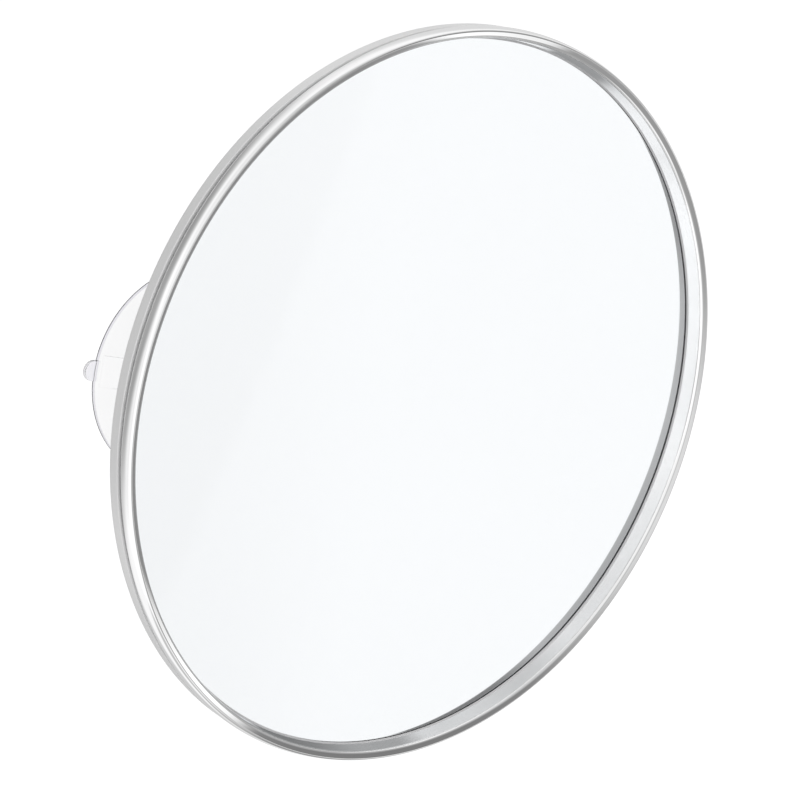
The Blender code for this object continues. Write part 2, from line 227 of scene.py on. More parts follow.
class MirrorColours(bpy.types.PropertyGroup):
    """Colours, and how soft the satin's shine is."""

    chrome: colour((0.96, 0.96, 0.963), "Polished plate of the bezel")
    satin: colour((0.81, 0.81, 0.81), "Lacquer of the rear shell")
    satin_roughness: share(0.36, "Softness of the shell's shine")
    silvering: colour((0.990, 0.993, 0.999), "Reflecting layer")
    paint: colour((0.24, 0.25, 0.27), "Protective paint behind the silvering")
    glass: colour((0.987, 0.995, 1.0), "Clear glass")
    glass_edge: colour((0.80, 0.90, 0.88), "Ground edge of the glass")
    foam: colour((0.80, 0.80, 0.78), "Foam behind the glass")
    vinyl: colour((0.98, 0.98, 0.985), "Clear soft suction cups")
    # Painted shade: this lilac at the cup's outer edge stands in for the dark outline that the
    # clear rim shows by refraction
    vinyl_edge_shade: colour((0.66, 0.65, 0.72), "Thin outer edge of a cup")
    vinyl_tab: colour((0.90, 0.895, 0.93), "Pull tab")
    # Partly painted shade: this grey is set so that the lip's foot gives the dark line at the
    # glass edge
    bare_plastic_and_shade: colour((0.62, 0.62, 0.63), "Unplated underside of the bezel")


class StudioSettings(bpy.types.PropertyGroup):
    """Floor, lamps and camera."""

    floor_drop: length(0.50, "Floor below the mirror's middle")
    floor_radius: length(1.60, "Radius of the floor")
    floor_tone: colour((0.86, 0.86, 0.865), "Pale floor")
    floor_lift: share(0.38, "Glow that brings the floor to white")
    room_level: share(0.70, "Even light of the room on the object")
    camera_distance: length(0.80436, "Camera to the point it looks at")
    camera_near: length(0.01, "Nearest distance that the camera shows")
    camera_lens: millimetres(162.803, "Focal length")
    camera_sensor: millimetres(36.0, "Width of the sensor")


class Plan:
    """Radii and heights that follow from the sizes. Heights are measured from the wall."""

    def __init__(self, scene):
        size = scene.mirror_sizes
        cup = scene.cup_sizes
        gap = size.touch_gap
        self.size = size
        self.cup = cup
        self.band_radius = size.bezel_radius - size.band_inset
        self.shell_inner = self.band_radius - size.side_wall
        self.skirt_outer = self.shell_inner - gap
        self.skirt_inner = self.skirt_outer - size.skirt_wall
        self.glass_radius = self.skirt_inner - gap
        self.wall_radius = self.glass_radius - size.lip_overlap
        self.lip_radius = self.wall_radius - size.lip_width
        self.foam_outer = self.glass_radius - gap
        self.foam_inner = self.foam_outer - size.foam_width
        self.lip_underside = size.crest_height - size.rim_depth
        self.widest_height = size.crest_height - size.crest_rise
        self.foot_height = self.widest_height - size.foot_round
        self.band_top = self.foot_height - size.band_groove
        self.boss_face = cup.height + gap
        self.recess_floor = self.boss_face + size.shell_wall
        self.head_base = self.recess_floor + gap
        self.head_top = self.head_base + cup.head_thickness
        self.plateau_back = self.boss_face + cup.boss_rise
        self.plateau_floor = self.plateau_back + size.shell_wall
        self.silver_middle = self.plateau_floor + size.middle_space
        self.foam_back = self.silver_back(self.foam_inner) - gap - size.foam_thickness
        self.ledge_height = self.foam_back - gap
        self.seat_height = self.ledge_height + size.seat_rise
        self.skirt_end = self.seat_height + gap
        self.lug_bottom = self.skirt_end + size.lug_lift
        self.lug_top = self.lug_bottom + size.lug_height

    def dish(self, radius):
        """Rise of the glass from its middle to a radius."""
        curve = self.size.curve_radius
        return curve - math.sqrt(curve ** 2 - radius ** 2)

    def silver_back(self, radius):
        """Height of the painted back; the layers above follow the same curve."""
        return self.silver_middle + self.dish(radius)

    def silver_front(self, radius):
        return self.silver_back(radius) + self.size.silver_thickness

    def glass_back(self, radius):
        return self.silver_front(radius) + self.size.touch_gap

    def glass_front(self, radius):
        return self.glass_back(radius) + self.size.glass_thickness


# Outlines


def rounded(outline, steps=ROUND_STEPS):
    """Points of a closed outline of (x, y, radius of the corner)."""
    points = []
    for i, (x, y, radius) in enumerate(outline):
        corner = Vector((x, y))
        before = Vector(outline[i - 1][:2]) - corner
        after = Vector(outline[(i + 1) % len(outline)][:2]) - corner
        if radius <= 0.0:
            points.append((x, y))
            continue
        half = before.angle(after) / 2
        reach = min(radius / math.tan(half), before.length * CORNER_REACH,
                    after.length * CORNER_REACH)
        radius = reach * math.tan(half)
        inward = (before.normalized() + after.normalized()).normalized()
        middle = corner + inward * radius / math.sin(half)
        first = corner + before.normalized() * reach - middle
        last = corner + after.normalized() * reach - middle
        start = math.atan2(first.y, first.x)
        turn = math.remainder(math.atan2(last.y, last.x) - start, 2 * math.pi)
        for k in range(steps + 1):
            angle = start + turn * k / steps
            points.append((middle.x + radius * math.cos(angle),
                           middle.y + radius * math.sin(angle)))
    return points


def oval(centre, radii, start, end, steps):
    """Points on part of an oval."""
    angles = [start + (end - start) * i / steps for i in range(steps + 1)]
    return [(centre[0] + radii[0] * math.cos(a), centre[1] + radii[1] * math.sin(a))
            for a in angles]


def through(points, steps):
    """Points on one smooth curve through the given ones."""
    ends = [tuple(2 * a - b for a, b in zip(points[0], points[1])),
            tuple(2 * a - b for a, b in zip(points[-1], points[-2]))]
    padded = [ends[0], *points, ends[1]]
    curve = []
    for p0, p1, p2, p3 in zip(padded, padded[1:], padded[2:], padded[3:]):
        for k in range(steps):
            t = k / steps
            curve.append(tuple(
                0.5 * (2 * b + (c - a) * t + (2 * a - 5 * b + 4 * c - d) * t ** 2
                       + (3 * b - a - 3 * c + d) * t ** 3)
                for a, b, c, d in zip(p0, p1, p2, p3)))
    curve.append(points[-1])
    return curve


# Meshes


def turned(outline, segments, centres=((0.0, 0.0),)):
    """Turn a closed outline of (radius, height) about an upright axis at each centre."""
    bm = bmesh.new()
    for x, y in centres:
        rings = []
        for radius, height in outline:
            count = 1 if radius < MERGE else segments
            angles = [2 * math.pi * k / segments for k in range(count)]
            rings.append([bm.verts.new((x + radius * math.cos(a), y + radius * math.sin(a),
                                        height)) for a in angles])
        for ring, other in zip(rings, rings[1:] + rings[:1]):
            if len(ring) == 1 and len(other) == 1:
                continue
            for k in range(segments):
                n = (k + 1) % segments
                corners = [ring[k % len(ring)], ring[n % len(ring)],
                           other[n % len(other)], other[k % len(other)]]
                bm.faces.new(list(dict.fromkeys(corners)))
    return bm


def prism(points, push):
    """A solid from a flat outline of 3D points, pushed along one vector."""
    bm = bmesh.new()
    face = bm.faces.new([bm.verts.new(point) for point in points])
    grown = bmesh.ops.extrude_face_region(bm, geom=[face])
    verts = [item for item in grown["geom"] if isinstance(item, bmesh.types.BMVert)]
    bmesh.ops.translate(bm, verts=verts, vec=push)
    return bm


def soften(bm, width):
    """Round every edge that turns sharply."""
    bmesh.ops.recalc_face_normals(bm, faces=bm.faces)
    edges = [edge for edge in bm.edges if edge.calc_face_angle(0.0) > SHARP_ANGLE]
    bmesh.ops.bevel(bm, geom=edges, offset=width, segments=SOFT_STEPS, profile=0.5,
                    affect="EDGES", clamp_overlap=True)


def mesh_of(bm):
    """The finished mesh of a bmesh, which is freed."""
    bmesh.ops.remove_doubles(bm, verts=bm.verts, dist=MERGE)
    bmesh.ops.recalc_face_normals(bm, faces=bm.faces)
    mesh = bpy.data.meshes.new("work")
    bm.to_mesh(mesh)
    bm.free()
    return mesh


def joined(bm, tools):
    """The mesh of a bmesh after Boolean steps, each (operation, bmesh of the tool)."""
    base = bpy.data.objects.new("work", mesh_of(bm))
    bpy.context.scene.collection.objects.link(base)
    helpers = []
    for operation, tool_bm in tools:
        tool = bpy.data.objects.new("tool", mesh_of(tool_bm))
        bpy.context.scene.collection.objects.link(tool)
        step = base.modifiers.new("step", "BOOLEAN")
        step.operation = operation
        step.solver = "EXACT"
        step.object = tool
        helpers.append(tool)
    seen = base.evaluated_get(bpy.context.evaluated_depsgraph_get())
    result = bpy.data.meshes.new_from_object(seen)
    for item in (base, *helpers):
        old = item.data
        bpy.data.objects.remove(item, do_unlink=True)
        bpy.data.meshes.remove(old)
    return result


def add_piece(name, mesh, place, finishes, body, nodes):
    """Put a finished mesh in the scene on its body, in the place of CAD nodes."""
    mesh.name = name
    mesh.transform(place)
    mesh.shade_smooth()
    mesh.set_sharp_from_angle(angle=SHARP_ANGLE)
    piece = bpy.data.objects.new(name, mesh)
    bpy.context.scene.collection.objects.link(piece)
    for finish in finishes:
        mesh.materials.append(finish)
    even = piece.modifiers.new("even shading", "WEIGHTED_NORMAL")
    even.keep_sharp = True
    even.weight = 80  # large faces keep more of their own shade
    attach(piece, body)
    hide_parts(*nodes)
    return piece


# Finishes

MIX_SOCKETS = {"FLOAT": (2, 3, 0), "RGBA": (6, 7, 2)}  # a mix node's two inputs and its output

# Values of a noise, or distances in its cells, between which something changes
TONE_RANGE = (0.35, 0.65)
ROUGH_RANGE = (0.3, 0.7)
CELL_RANGE = (0.1, 0.8)

# Where the colour of an edge starts and is full, outward from the radius of its piece
GLASS_EDGE = (-0.0003, -0.0001)
# Painted shade at the cup's rim, in the lilac of the edge colour
VINYL_EDGE_SHADE = (-0.00035, -0.0001)
VINYL_TAB = (0.0001, 0.0003)


class NodeTree:
    """The nodes of a material or of the world, with a few helpers."""

    def __init__(self, owner, coordinates):
        owner.use_nodes = True
        self.tree = owner.node_tree
        self.place = self.tree.nodes.new("ShaderNodeTexCoord").outputs[coordinates]

    def plug(self, socket, value):
        """Put a number, a vector, a colour or another node's output on a socket."""
        if isinstance(value, bpy.types.NodeSocket):
            self.tree.links.new(value, socket)
        elif socket.type == "RGBA":
            socket.default_value = (*value, 1.0)
        else:
            socket.default_value = value

    def node(self, kind, settings=None, **sockets):
        """A new node; in the names of its sockets underscores stand for spaces."""
        made = self.tree.nodes.new(kind)
        for key, value in (settings or {}).items():
            setattr(made, key, value)
        for key, value in sockets.items():
            self.plug(made.inputs[key.replace("_", " ")], value)
        return made

    def worked(self, kind, operation, values):
        """A node that works on one to three values."""
        made = self.node(kind, {"operation": operation})
        for socket, value in zip(made.inputs, values):
            self.plug(socket, value)
        return made.outputs

    def math(self, operation, *values):
        """The result of some numbers."""
        return self.worked("ShaderNodeMath", operation, values)["Value"]

    def vector_math(self, operation, *values):
        """The outputs Vector and Value of some vectors."""
        return self.worked("ShaderNodeVectorMath", operation, values)

    def mix(self, kind, amount, first, second):
        """The first value where the amount is 0, the second where it is 1."""
        made = self.node("ShaderNodeMix", {"data_type": kind}, Factor=amount)
        start, end, result = MIX_SOCKETS[kind]
        self.plug(made.inputs[start], first)
        self.plug(made.inputs[end], second)
        return made.outputs[result]


def dimmed(tone, part):
    """A colour at a part of its brightness."""
    return tuple(part * value for value in tone)


class Finish(NodeTree):
    """A material made of nodes."""

    def __init__(self, name):
        self.material = bpy.data.materials.new(name)
        super().__init__(self.material, "Object")
        self.shader = self.tree.nodes["Principled BSDF"]

    def set(self, **values):
        """Set sockets of the shader; underscores stand for spaces."""
        for key, value in values.items():
            self.plug(self.shader.inputs[key.replace("_", " ")], value)

    def noise(self, scale, detail=3.0, roughness=0.5):
        """Soft noise, scale in bumps per metre."""
        made = self.node("ShaderNodeTexNoise", Vector=self.place, Scale=scale, Detail=detail,
                         Roughness=roughness)
        return made.outputs["Fac"]

    def cells(self, scale):
        """Distance from the middle of the nearest cell, scale in cells per metre."""
        made = self.node("ShaderNodeTexVoronoi", Vector=self.place, Scale=scale)
        return made.outputs["Distance"]

    def spread(self, value, low, high, start=0.0, end=1.0):
        """Carry a value from the range start to end over to the range low to high."""
        made = self.node("ShaderNodeMapRange", Value=value, From_Min=start, From_Max=end,
                         To_Min=low, To_Max=high)
        return made.outputs["Result"]

    def rise(self, value, start, end):
        """0 up to the start, 1 from the end on, even in between."""
        return self.spread(value, 0.0, 1.0, start, end)

    def mottled(self, tone, part, noise, start, end):
        """A colour that falls to a part of its brightness where the noise rises."""
        return self.mix("RGBA", self.rise(noise, start, end), tone, dimmed(tone, part))

    def beyond(self, reach, radius, edge):
        """0 within a radius, 1 beyond it; the edge says where that changes."""
        return self.rise(reach, radius + edge[0], radius + edge[1])

    def reach(self, centre=(0.0, 0.0)):
        """Distance from the mirror's axis, or from another line along it."""
        apart = self.vector_math("SUBTRACT", self.place, (centre[0], 0.0, centre[1]))
        flat = self.vector_math("MULTIPLY", apart["Vector"], (1.0, 0.0, 1.0))
        return self.vector_math("LENGTH", flat["Vector"])["Value"]

    def relief(self, value, height, strength, under=None):
        """Bump of a height in metres, over another one if there is one."""
        made = self.node("ShaderNodeBump", Height=value, Distance=height, Strength=strength)
        if under:
            self.plug(made.inputs["Normal"], under)
        return made.outputs["Normal"]


def chrome_finish(colours):
    """Polished plate: faint waviness of the moulding under it and a few soft wipes."""
    finish = Finish("chrome_plate")
    wipes = finish.noise(90.0, detail=4.0, roughness=0.6)
    waves = finish.noise(45.0, detail=1.0)
    finish.set(Metallic=1.0, IOR=2.2,
               Base_Color=finish.mottled(colours.chrome, 0.975, wipes, *TONE_RANGE),
               Roughness=finish.spread(wipes, 0.03, 0.055, *ROUGH_RANGE),
               Normal=finish.relief(waves, height=0.00006, strength=0.25))
    return finish.material


def satin_finish(colours):
    """Silver lacquer with fine metal flakes over moulded plastic."""
    finish = Finish("satin_lacquer")
    flakes = finish.cells(5200.0)
    clouds = finish.noise(35.0)
    glint = finish.spread(flakes, 0.0, 0.35, *CELL_RANGE)
    tone = finish.mottled(colours.satin, 0.94, clouds, *TONE_RANGE)
    rough = colours.satin_roughness
    grain = finish.relief(flakes, height=0.00002, strength=0.35)
    peel = finish.noise(700.0, detail=2.0)
    finish.set(Metallic=0.3, Coat_Weight=0.15, Coat_Roughness=0.3,
               Base_Color=finish.mix("RGBA", glint, tone, dimmed(colours.satin, 0.82)),
               Roughness=finish.spread(clouds, rough - 0.03, rough + 0.05, *ROUGH_RANGE),
               Normal=finish.relief(peel, height=0.00002, strength=0.3, under=grain))
    return finish.material


def glass_finish(colours, plan):
    """Clear glass whose ground edge is greener and matt."""
    finish = Finish("clear_glass")
    edge = finish.beyond(finish.reach(), plan.glass_radius, GLASS_EDGE)
    grind = finish.spread(finish.noise(2500.0), 0.25, 0.45)
    finish.set(Transmission_Weight=1.0, IOR=1.52,
               Base_Color=finish.mix("RGBA", edge, colours.glass, colours.glass_edge),
               Roughness=finish.math("MULTIPLY", edge, grind))
    return finish.material


def silver_finish(colours):
    """Bright silvering with hardly visible clouds."""
    finish = Finish("silvering")
    clouds = finish.noise(30.0)
    finish.set(Metallic=1.0, Roughness=0.0,
               Base_Color=finish.mottled(colours.silvering, 0.997, clouds, *TONE_RANGE))
    return finish.material


def paint_finish(colours):
    """Grey protective paint behind the silvering."""
    finish = Finish("back_paint")
    spots = finish.noise(420.0)
    finish.set(Base_Color=finish.mottled(colours.paint, 0.85, spots, 0.4, 0.6),
               Roughness=finish.spread(spots, 0.45, 0.6, *ROUGH_RANGE),
               Normal=finish.relief(spots, height=0.00004, strength=0.4))
    return finish.material


def foam_finish(colours):
    """Closed-cell foam."""
    finish = Finish("closed_cell_foam")
    bubbles = finish.cells(2600.0)
    finish.set(Base_Color=finish.mottled(colours.foam, 0.86, bubbles, *CELL_RANGE),
               Roughness=finish.spread(finish.noise(900.0), 0.8, 0.95),
               Normal=finish.relief(bubbles, height=0.0001, strength=0.6))
    return finish.material


def vinyl_finish(colours, cup, centre):
    """Clear soft vinyl: painted shade in lilac at the cup's thin edge for the dark outline of its
    clear rim, paler in the tab, with faint flow lines.
    """
    finish = Finish("clear_vinyl")
    flow = finish.noise(160.0, detail=2.0)
    reach = finish.reach(centre)
    # Painted shade: the cup's outer edge is tinted lilac for the dark outline of the clear rim
    edge = finish.beyond(reach, cup.radius, VINYL_EDGE_SHADE)
    tab = finish.beyond(reach, cup.radius, VINYL_TAB)
    body = finish.mottled(colours.vinyl, 0.99, flow, *TONE_RANGE)
    rim_shade_and_tab = finish.mix("RGBA", tab, colours.vinyl_edge_shade, colours.vinyl_tab)
    finish.set(Transmission_Weight=1.0, IOR=1.45,
               Base_Color=finish.mix("RGBA", edge, body, rim_shade_and_tab),
               Roughness=finish.spread(flow, 0.10, 0.18, *ROUGH_RANGE),
               Normal=finish.relief(flow, height=0.00008, strength=0.3))
    return finish.material


def plastic_and_shade_finish(colours):
    """Bare moulded plastic of the bezel, where the plating stops; its grey is also painted shade,
    the dark line where the lip meets the glass.
    """
    finish = Finish("bare_plastic_and_shade")
    grain = finish.noise(600.0, detail=2.0)
    finish.set(Base_Color=finish.mottled(colours.bare_plastic_and_shade, 0.95, grain, 0.0, 1.0),
               Roughness=finish.spread(grain, 0.5, 0.7))
    return finish.material


# Pieces


def bezel_outline(plan):
    """Half section of the bezel, from under its lip round by the skirt and the bead."""
    size = plan.size
    crest_radius = size.bezel_radius - size.bead_half_width
    foot = oval((size.bezel_radius - size.foot_round, plan.widest_height),
                (size.foot_round, size.foot_round), -math.pi / 2, 0.0, CORNER_STEPS)
    bead = oval((crest_radius, plan.widest_height), (size.bead_half_width, size.crest_rise),
                0.0, math.pi / 2, BEAD_STEPS)
    under = plan.band_top + size.touch_gap
    lip_bottom = plan.glass_front(plan.lip_radius) + size.close_gap
    return rounded([
        (plan.lip_radius, lip_bottom, size.lip_back_round),
        (plan.skirt_inner, plan.lip_underside, size.fine_round),
        (plan.skirt_inner, plan.skirt_end, size.fine_round),
        (plan.skirt_outer, plan.skirt_end, size.edge_round),
        (plan.skirt_outer, under, size.fine_round),
        (crest_radius, under, size.bead_back_round),
        (crest_radius, plan.foot_height, size.bead_back_round),
        *[(r, h, 0.0) for r, h in (*foot, *bead[1:-1])],
        (crest_radius, size.crest_height, size.crest_round),
        (crest_radius - size.face_width, size.crest_height - size.face_drop, size.face_round),
        (plan.wall_radius, plan.lip_underside + size.lip_edge, size.fine_round),
        (plan.lip_radius, lip_bottom + size.lip_edge, size.lip_round),
    ])


def snap_lugs(plan):
    """Lugs round the skirt that snap into the shell's groove."""
    size = plan.size
    root = plan.skirt_outer - size.lug_root
    tip = plan.skirt_outer + size.lug_reach
    low, high, bevel = plan.lug_bottom, plan.lug_top, size.lug_bevel
    side = [(root, low), (tip - bevel, low), (tip, low + bevel), (tip, high - bevel),
            (tip - bevel, high), (root, high)]
    lugs = bmesh.new()
    for i in range(size.lug_count):
        lug = prism([(x, -size.lug_half_width, z) for x, z in side],
                    (0.0, 2 * size.lug_half_width, 0.0))
        lug.transform(Matrix.Rotation(2 * math.pi * (i + 0.5) / size.lug_count, 4, "Z"))
        mesh = mesh_of(lug)
        lugs.from_mesh(mesh)
        bpy.data.meshes.remove(mesh)
    return lugs


class MIRROR_OT_bezel(bpy.types.Operator):
    """Chrome front ring: round bead, inner slope, thin lip, skirt and snap lugs"""

    bl_idname = "mirror.bezel"
    bl_label = "Bezel"

    def execute(self, context):
        plan = Plan(context.scene)
        size = plan.size
        colours = context.scene.mirror_colours
        mesh = joined(turned(bezel_outline(plan), BEZEL_SIDES), [("UNION", snap_lugs(plan))])
        # The plating stops at the foot of the inner wall; the grey plastic there is also painted
        # shade, the dark line where the lip meets the glass
        plated = plan.lip_underside + size.lip_edge / 2
        for face in mesh.polygons:
            middle = face.center
            inside = math.hypot(middle.x, middle.y) < plan.skirt_outer - size.skirt_wall / 2
            face.material_index = int(inside and middle.z < plated)
        add_piece("chrome_bezel", mesh, WALL_TURN,
                  [chrome_finish(colours), plastic_and_shade_finish(colours)],
                  HEAD, ["front_bezel"])
        return {"FINISHED"}


def layer_outline(front, back, outer, bevel):
    """Closed outline of a dished layer, front first, with small bevels at its edge."""
    inner = [outer * i / DISC_RINGS for i in range(DISC_RINGS)]
    inner.append(outer - bevel)
    return [*[(r, front(r)) for r in inner],
            (outer, front(outer) - bevel), (outer, back(outer) + bevel),
            *[(r, back(r)) for r in reversed(inner)]]


class MIRROR_OT_glass(bpy.types.Operator):
    """Concave glass with a ground edge"""

    bl_idname = "mirror.glass"
    bl_label = "Glass"

    def execute(self, context):
        plan = Plan(context.scene)
        outline = layer_outline(plan.glass_front, plan.glass_back, plan.glass_radius,
                                plan.size.glass_bevel)
        finish = glass_finish(context.scene.mirror_colours, plan)
        add_piece("concave_glass", mesh_of(turned(outline, DISC_SIDES)), WALL_TURN, [finish],
                  HEAD, ["mirror_glass"])
        return {"FINISHED"}


class MIRROR_OT_silvering(bpy.types.Operator):
    """Reflecting layer behind the glass, with paint on its back and edge"""

    bl_idname = "mirror.silvering"
    bl_label = "Silvering"

    def execute(self, context):
        plan = Plan(context.scene)
        colours = context.scene.mirror_colours

        def front(radius):
            return plan.glass_back(radius) - plan.size.close_gap

        outline = layer_outline(front, plan.silver_back, plan.glass_radius,
                                plan.size.silver_bevel)
        mesh = mesh_of(turned(outline, DISC_SIDES))
        for face in mesh.polygons:
            faces_glass = face.normal.z > 0.9
            face.material_index = 0 if faces_glass else 1
        add_piece("silvered_back", mesh, WALL_TURN,
                  [silver_finish(colours), paint_finish(colours)], HEAD, ["silver_layer"])
        return {"FINISHED"}


def cup_places():
    """Each cup's body, CAD node and place across the mirror, as the CAD joints have it."""
    places = {joint["child"]: joint["pos_m"] for joint in frame["joints"]}
    return [(body, node, Vector((places[body][0], places[body][2]))) for body, node in CUPS]


def pad_mesh(plan, middle):
    """Foam pad at a place across the mirror; its front follows the curve of the glass."""
    size = plan.size
    low = plan.plateau_floor + size.touch_gap
    top = plan.silver_back(size.pad_place_radius) - size.touch_gap
    outline = [(0.0, low, 0.0), (size.pad_radius, low, size.edge_round),
               (size.pad_radius, top, size.foam_round), (size.pad_radius / 2, top, 0.0),
               (0.0, top, 0.0)]
    bm = turned(rounded(outline, FOAM_STEPS), PAD_SIDES, [middle])
    for vert in bm.verts:
        reach = math.hypot(vert.co.x, vert.co.y)
        rise = plan.silver_back(reach) - size.touch_gap - top
        vert.co.z += rise * (vert.co.z - low) / (top - low)
    return mesh_of(bm)


class MIRROR_OT_foam(bpy.types.Operator):
    """Foam ring and three foam pads that carry the glass"""

    bl_idname = "mirror.foam"
    bl_label = "Foam"

    def execute(self, context):
        plan = Plan(context.scene)
        size = plan.size
        finish = foam_finish(context.scene.mirror_colours)
        outer_top = plan.silver_back(plan.foam_outer) - size.touch_gap
        inner_top = plan.silver_back(plan.foam_inner) - size.touch_gap
        outline = rounded([
            (plan.foam_inner, plan.foam_back, size.edge_round),
            (plan.foam_outer, plan.foam_back, size.edge_round),
            (plan.foam_outer, outer_top, size.foam_round),
            (plan.foam_inner, inner_top, size.foam_round),
        ], FOAM_STEPS)
        ring = add_piece("foam_cushion_ring", mesh_of(turned(outline, FOAM_SIDES)), WALL_TURN,
                         [finish], HEAD, ["foam_ring"])
        for number, (_, _, place) in enumerate(cup_places(), start=1):
            middle = -place.normalized() * size.pad_place_radius
            pad = add_piece(f"foam_cushion_{number}", pad_mesh(plan, middle), WALL_TURN,
                            [finish], HEAD, [f"foam_pad_{number}"])
        return {"FINISHED"}


def shell_outline(plan):
    """Half section of the rear shell, from its inside round by the band to its back."""
    size = plan.size
    groove_radius = plan.skirt_outer + size.lug_reach + size.touch_gap
    groove_low = plan.lug_bottom - size.touch_gap
    groove_high = plan.lug_top + size.touch_gap
    seat_radius = plan.foam_outer + size.touch_gap
    ledge_inner = plan.foam_inner - size.ledge_margin
    step_outer = ledge_inner + size.step_shift * size.shell_wall
    back = plan.ledge_height - size.shell_wall
    corner_radius = plan.band_radius - size.band_corner
    corner = oval((corner_radius, back + size.slope_rise + size.band_corner),
                  (size.band_corner, size.band_corner), 0.0, -math.pi / 2, CORNER_STEPS)
    return rounded([
        (0.0, plan.plateau_floor, 0.0),
        (ledge_inner - size.step_width, plan.plateau_floor, size.ledge_foot_round),
        (ledge_inner, plan.ledge_height, size.ledge_round),
        (seat_radius, plan.ledge_height, size.edge_round),
        (seat_radius, plan.seat_height, size.edge_round),
        (plan.shell_inner, plan.seat_height, size.seat_round),
        (plan.shell_inner, groove_low, size.seat_round),
        (groove_radius, groove_low, size.fine_round),
        (groove_radius, groove_high, size.fine_round),
        (plan.shell_inner, groove_high, size.fine_round),
        (plan.shell_inner, plan.band_top, size.edge_round),
        (plan.band_radius, plan.band_top, size.band_round),
        *[(r, h, 0.0) for r, h in corner],
        (corner_radius - size.slope_width, back, size.slope_round),
        (step_outer, back, size.step_round),
        (step_outer - size.step_width, plan.plateau_back, size.step_top_round),
        (size.plateau_ring * size.bezel_radius, plan.plateau_back, 0.0),
        (0.0, plan.plateau_back, 0.0),
    ])


def socket_tools(plan):
    """Boolean steps that give the shell its sockets: bosses, recesses in them and holes."""
    size = plan.size
    cup = plan.cup
    middle = (plan.plateau_back + plan.plateau_floor) / 2
    inside = plan.plateau_floor + CUT_PAST
    boss = rounded([
        (0.0, plan.boss_face, 0.0),
        (cup.boss_radius - cup.boss_draft, plan.boss_face, cup.boss_round),
        (cup.boss_radius - cup.boss_foot, plan.plateau_back - cup.boss_foot, 0.0),
        (cup.boss_radius, plan.plateau_back, 0.0),
        (cup.boss_radius, middle, 0.0),
        (0.0, middle, 0.0),
    ])
    recess_radius = cup.boss_radius - size.shell_wall
    recess = [(0.0, plan.recess_floor), (recess_radius, plan.recess_floor),
              (recess_radius, inside), (0.0, inside)]
    hole_radius = cup.neck_radius + size.touch_gap
    outside = plan.boss_face - CUT_PAST
    hole = [(0.0, outside), (hole_radius + cup.hole_chamfer + CUT_PAST, outside),
            (hole_radius, plan.boss_face + cup.hole_chamfer), (hole_radius, inside),
            (0.0, inside)]
    places = [place for _, _, place in cup_places()]
    return [("UNION", turned(boss, BOSS_SIDES, places)),
            ("DIFFERENCE", turned(recess, BOSS_SIDES, places)),
            ("DIFFERENCE", turned(hole, HOLE_SIDES, places))]


class MIRROR_OT_shell(bpy.types.Operator):
    """Rear shell: satin side band, stepped back, ledge for the glass and cup sockets"""

    bl_idname = "mirror.shell"
    bl_label = "Rear shell"

    def execute(self, context):
        plan = Plan(context.scene)
        mesh = joined(turned(shell_outline(plan), DISC_SIDES), socket_tools(plan))
        add_piece("satin_rear_shell", mesh, WALL_TURN,
                  [satin_finish(context.scene.mirror_colours)], HEAD, ["rear_shell"])
        return {"FINISHED"}


# Shapes of the cup's two skins: shares of its radius and of its height
DOME_SHARES = ((0.94, 0.125), (0.83, 0.225), (0.70, 0.39), (0.56, 0.605), (0.44, 0.78),
               (0.37, 0.90))
HOLLOW_SHARES = ((0.93, 0.09), (0.80, 0.34), (0.60, 0.66), (0.36, 0.90))


def cup_outline(plan):
    """Half section of a suction cup, from its hollow round to its headed neck."""
    cup = plan.cup
    depth = cup.height - cup.crown
    hollow = [(cup.radius * r, depth * h) for r, h in reversed(HOLLOW_SHARES)]
    foot = (cup.radius - cup.contact_width, 0.0)
    inside = through([(0.0, depth), *hollow, foot], SKIN_STEPS)[:-1]
    dome = [(cup.radius * r, cup.height * h) for r, h in DOME_SHARES]
    outside = through([(cup.radius, cup.lip), *dome, (cup.top_radius, cup.height)],
                      SKIN_STEPS)[1:-1]
    head_radius = cup.neck_radius + cup.head_ledge
    return rounded([
        *[(r, h, 0.0) for r, h in inside],
        (*foot, cup.fine_round),
        (cup.radius, 0.0, cup.edge_round),
        (cup.radius, cup.lip, cup.edge_round),
        *[(r, h, 0.0) for r, h in outside],
        (cup.top_radius, cup.height, cup.edge_round),
        (cup.neck_radius, cup.height, cup.neck_round),
        (cup.neck_radius, plan.head_base, cup.fine_round),
        (head_radius, plan.head_base, cup.neck_round),
        (head_radius, plan.head_top - cup.head_bevel, cup.head_round),
        (head_radius - cup.head_bevel, plan.head_top, cup.head_round),
        (0.0, plan.head_top, 0.0),
    ])


def tab_solid(cup):
    """Tongue with a half-round end that lifts the cup's edge."""
    end = cup.radius + cup.tab_reach - cup.tab_half_width
    outline = oval((end, 0.0), (cup.tab_half_width, cup.tab_half_width), -math.pi / 2,
                   math.pi / 2, TAB_STEPS)
    inner = cup.radius - cup.tab_sink
    outline += [(inner, cup.tab_half_width), (inner, -cup.tab_half_width)]
    bm = prism([(x, y, cup.tab_lift) for x, y in outline], (0.0, 0.0, cup.tab_thickness))
    soften(bm, cup.tab_round)
    return bm


def root_solid(cup):
    """Thicker block where the tongue runs up the cup's outside."""
    outer = cup.radius - cup.root_inset
    inner = outer - cup.root_length
    (low_radius, low_height), _, (high_radius, high_height) = DOME_SHARES[:3]
    slope = (high_height - low_height) / (low_radius - high_radius)
    climb = slope * cup.height * cup.root_length / cup.radius
    top = cup.lip + cup.root_rise
    floor = cup.tab_lift + cup.tab_thickness / 2
    side = [(outer, floor), (outer, top), (inner, top + climb), (inner, climb + cup.lip)]
    bm = prism([(x, -cup.root_half_width, z) for x, z in side],
               (0.0, 2 * cup.root_half_width, 0.0))
    soften(bm, cup.root_round)
    return bm


